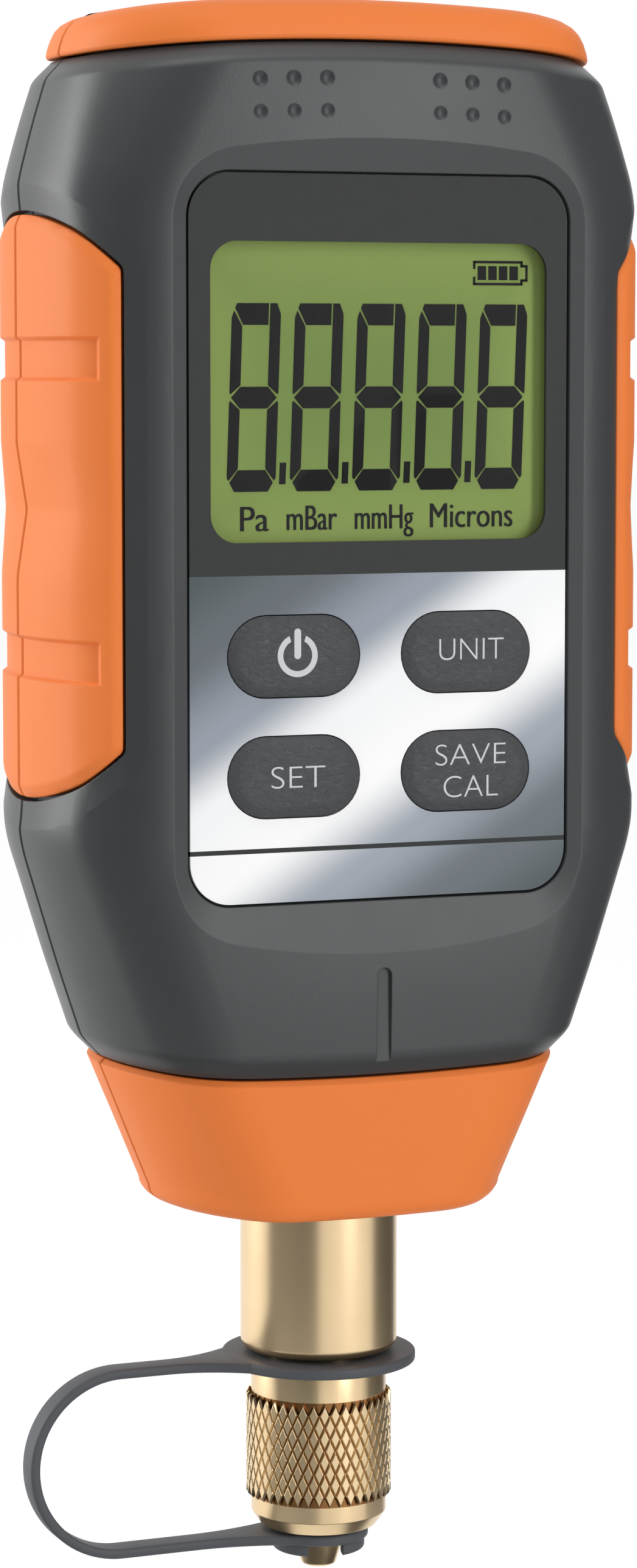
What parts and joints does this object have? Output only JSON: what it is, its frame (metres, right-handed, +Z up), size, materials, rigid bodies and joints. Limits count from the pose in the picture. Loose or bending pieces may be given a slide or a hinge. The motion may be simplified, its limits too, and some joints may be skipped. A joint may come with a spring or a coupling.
{
  "type": "micron vacuum gauge",
  "caption": "Hand-held digital vacuum gauge with an orange-gripped housing, display and keys over a knurled swivel coupling, with a strapped plug in the coupling.",
  "frame": {"origin": "centre of the swivel nut's lower face, on the coupling's axis", "axes": "+Z up the coupling's axis into the housing, -Y out of the display and keys, +X to the right seen from the front"},
  "size_m": [0.0686, 0.0374, 0.1707],
  "materials": {
    "charcoal_plastic": "fine grain",
    "orange_rubber": "satin",
    "panel_film": "satin film, metallised silver below the window",
    "key_rubber": "fine grain",
    "clear_pane": "clear",
    "lcd_glass": "green lit display",
    "backlight_plate": "diffuse",
    "black_rubber": "matte",
    "black_plastic": "matte",
    "circuit_board": "solder mask",
    "steel": "plain",
    "cell_jacket": "printed film over steel",
    "brass": "turned and knurled",
    "strap_rubber": "satin",
    "ribbon_cable": "plain"
  },
  "bodies": {
    "housing": {"front_cover": "charcoal_plastic", "rear_cover": "charcoal_plastic", "top_bumper_front": "orange_rubber", "top_bumper_rear": "orange_rubber", "grip_left_front": "orange_rubber", "grip_left_rear": "orange_rubber", "grip_right_front": "orange_rubber", "grip_right_rear": "orange_rubber", "boot_front": "orange_rubber", "boot_rear": "orange_rubber", "face_panel": "panel_film", "display_window": "clear_pane", "lcd_glass": "lcd_glass", "backlight": "backlight_plate", "zebra_strip_upper": "black_rubber", "zebra_strip_lower": "black_rubber", "main_board": "circuit_board", "key_switch_1": "black_plastic", "key_switch_2": "black_plastic", "key_switch_3": "black_plastic", "key_switch_4": "black_plastic", "board_screw_1": "steel", "board_screw_2": "steel", "board_screw_3": "steel", "board_screw_4": "steel", "case_screw_1": "steel", "case_screw_2": "steel", "case_screw_3": "steel", "case_screw_4": "steel", "battery_door": "charcoal_plastic", "battery_door_screw": "steel", "battery_left": "cell_jacket", "battery_right": "cell_jacket", "spring_left": "steel", "spring_right": "steel", "contact_left": "steel", "contact_right": "steel", "contact_bridge": "steel", "barrel": "brass", "sensor": "steel", "sensor_seal": "black_rubber", "sensor_board": "circuit_board", "sensor_ribbon": "ribbon_cable", "swivel_stem": "brass", "core_depressor": "brass"},
    "power_key": {"key_power": "key_rubber"},
    "mode_key": {"key_mode": "key_rubber"},
    "hold_key": {"key_hold": "key_rubber"},
    "zero_key": {"key_zero": "key_rubber"},
    "nut": {"swivel_nut": "brass", "seat_gasket": "black_rubber"},
    "strap": {"strap": "strap_rubber"},
    "plug": {"plug": "brass", "plug_seal": "black_rubber"}
  },
  "joints": [
    {"name": "power_key_press", "type": "slide", "parent": "housing", "child": "power_key", "axis": [0, 1, 0], "range_m": [0, 0.0008], "stiffness_N_per_m": 600},
    {"name": "mode_key_press", "type": "slide", "parent": "housing", "child": "mode_key", "axis": [0, 1, 0], "range_m": [0, 0.0008], "stiffness_N_per_m": 600},
    {"name": "hold_key_press", "type": "slide", "parent": "housing", "child": "hold_key", "axis": [0, 1, 0], "range_m": [0, 0.0008], "stiffness_N_per_m": 600},
    {"name": "zero_key_press", "type": "slide", "parent": "housing", "child": "zero_key", "axis": [0, 1, 0], "range_m": [0, 0.0008], "stiffness_N_per_m": 600},
    {"name": "nut_swivel", "type": "hinge", "parent": "housing", "child": "nut", "pos_m": [0, 0, 0.009], "axis": [0, 0, 1], "continuous": true},
    {"name": "strap_swivel", "type": "hinge", "parent": "housing", "child": "strap", "pos_m": [0, 0, 0.019], "axis": [0, 0, 1], "continuous": true},
    {"name": "plug_pull", "type": "slide", "parent": "strap", "child": "plug", "axis": [0, 0, -1], "range_m": [0, 0.009], "deforming": ["strap"]}
  ]
}
